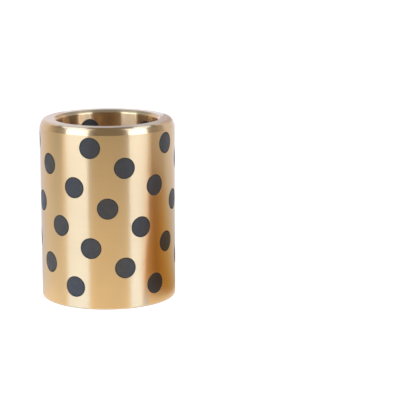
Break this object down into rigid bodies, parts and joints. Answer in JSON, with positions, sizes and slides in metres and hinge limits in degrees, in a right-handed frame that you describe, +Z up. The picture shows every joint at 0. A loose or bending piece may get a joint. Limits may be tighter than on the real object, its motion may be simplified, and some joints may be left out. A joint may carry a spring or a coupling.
{
  "type": "graphite plugged bushing",
  "caption": "Plain cylindrical brass sleeve bearing with flush round graphite plugs in a staggered spiral pattern, press-fit outside and running bore.",
  "frame": {"origin": "centre of the lower end face, on the bore's axis", "axes": "+Z up along the bore's axis, towards the end with the lead-in; +X and +Y in the lower end face"},
  "size_m": [0.06, 0.06, 0.08],
  "materials": {
    "turned_brass": "fine-turned and satin polished high-strength brass",
    "graphite": "pressed graphite solid lubricant, machined flush, dull dark grey"
  },
  "bodies": {
    "root": {"brass_sleeve": "turned_brass", "graphite_plug_row1_1": "graphite", "graphite_plug_row1_2": "graphite", "graphite_plug_row1_3": "graphite", "graphite_plug_row1_4": "graphite", "graphite_plug_row1_5": "graphite", "graphite_plug_row2_1": "graphite", "graphite_plug_row2_2": "graphite", "graphite_plug_row2_3": "graphite", "graphite_plug_row2_4": "graphite", "graphite_plug_row2_5": "graphite", "graphite_plug_row3_1": "graphite", "graphite_plug_row3_2": "graphite", "graphite_plug_row3_3": "graphite", "graphite_plug_row3_4": "graphite", "graphite_plug_row3_5": "graphite", "graphite_plug_row4_1": "graphite", "graphite_plug_row4_2": "graphite", "graphite_plug_row4_3": "graphite", "graphite_plug_row4_4": "graphite", "graphite_plug_row4_5": "graphite", "graphite_plug_row5_1": "graphite", "graphite_plug_row5_2": "graphite", "graphite_plug_row5_3": "graphite", "graphite_plug_row5_4": "graphite", "graphite_plug_row5_5": "graphite", "graphite_plug_row6_1": "graphite", "graphite_plug_row6_2": "graphite", "graphite_plug_row6_3": "graphite", "graphite_plug_row6_4": "graphite", "graphite_plug_row6_5": "graphite", "graphite_plug_row7_1": "graphite", "graphite_plug_row7_2": "graphite", "graphite_plug_row7_3": "graphite", "graphite_plug_row7_4": "graphite", "graphite_plug_row7_5": "graphite", "graphite_plug_row8_1": "graphite", "graphite_plug_row8_2": "graphite", "graphite_plug_row8_3": "graphite", "graphite_plug_row8_4": "graphite", "graphite_plug_row8_5": "graphite"}
  },
  "joints": []
}
